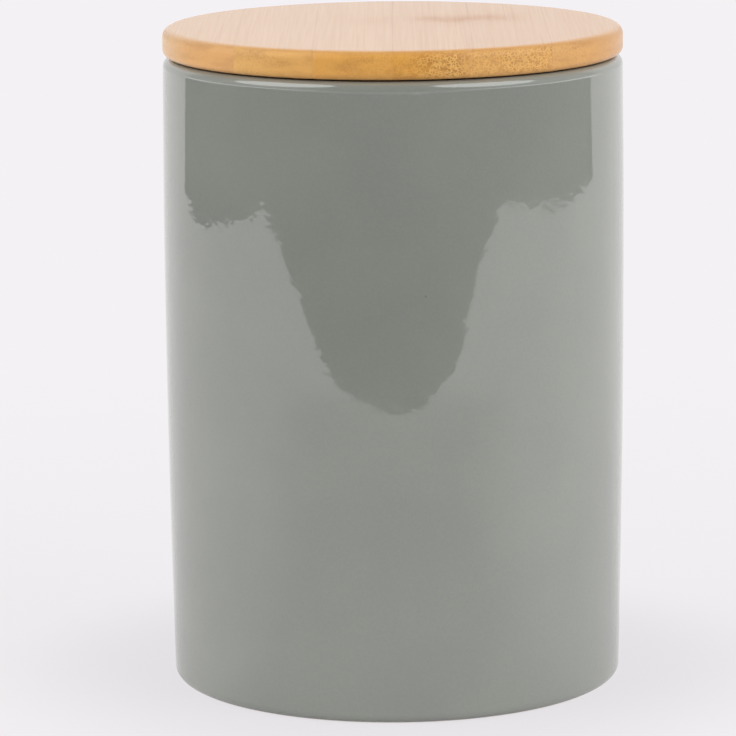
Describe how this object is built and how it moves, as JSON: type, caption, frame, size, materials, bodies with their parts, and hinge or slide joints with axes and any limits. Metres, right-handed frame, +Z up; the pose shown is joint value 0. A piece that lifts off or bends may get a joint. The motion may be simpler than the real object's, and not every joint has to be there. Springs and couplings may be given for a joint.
{
  "type": "storage jar",
  "caption": "Round glazed stoneware jar with a slightly bellied wall and a flat push-in bamboo lid with a sealing ring, for keeping dry food.",
  "frame": {"origin": "middle of the foot, on the surface that the jar stands on", "axes": "+Z up along the jar's axis, +Y along the strips of the lid's top ply, away from the viewer"},
  "size_m": [0.1, 0.1, 0.1428],
  "materials": {
    "glaze": "glossy warm grey glaze, unglazed on the foot ring",
    "bamboo": "sanded flat-pressed bamboo with a thin clear oil",
    "silicone": "milky satin silicone"
  },
  "bodies": {
    "jar": {"jar_body": "glaze"},
    "seal": {"seal_ring": "silicone"},
    "lid": {"lid_top_strip_1": "bamboo", "lid_top_strip_2": "bamboo", "lid_top_strip_3": "bamboo", "lid_top_strip_4": "bamboo", "lid_top_strip_5": "bamboo", "lid_top_strip_6": "bamboo", "lid_core_strip_1": "bamboo", "lid_core_strip_2": "bamboo", "lid_core_strip_3": "bamboo", "lid_core_strip_4": "bamboo", "lid_core_strip_5": "bamboo", "lid_bottom_strip_1": "bamboo", "lid_bottom_strip_2": "bamboo", "lid_bottom_strip_3": "bamboo", "lid_bottom_strip_4": "bamboo", "lid_bottom_strip_5": "bamboo"}
  },
  "joints": [
    {"name": "lid_lift", "type": "slide", "parent": "jar", "child": "seal", "axis": [0, 0, 1], "range_m": [0, 0.1]},
    {"name": "lid_turn", "type": "hinge", "parent": "seal", "child": "lid", "pos_m": [0, 0, 0.1367], "axis": [0, 0, 1], "continuous": true}
  ]
}
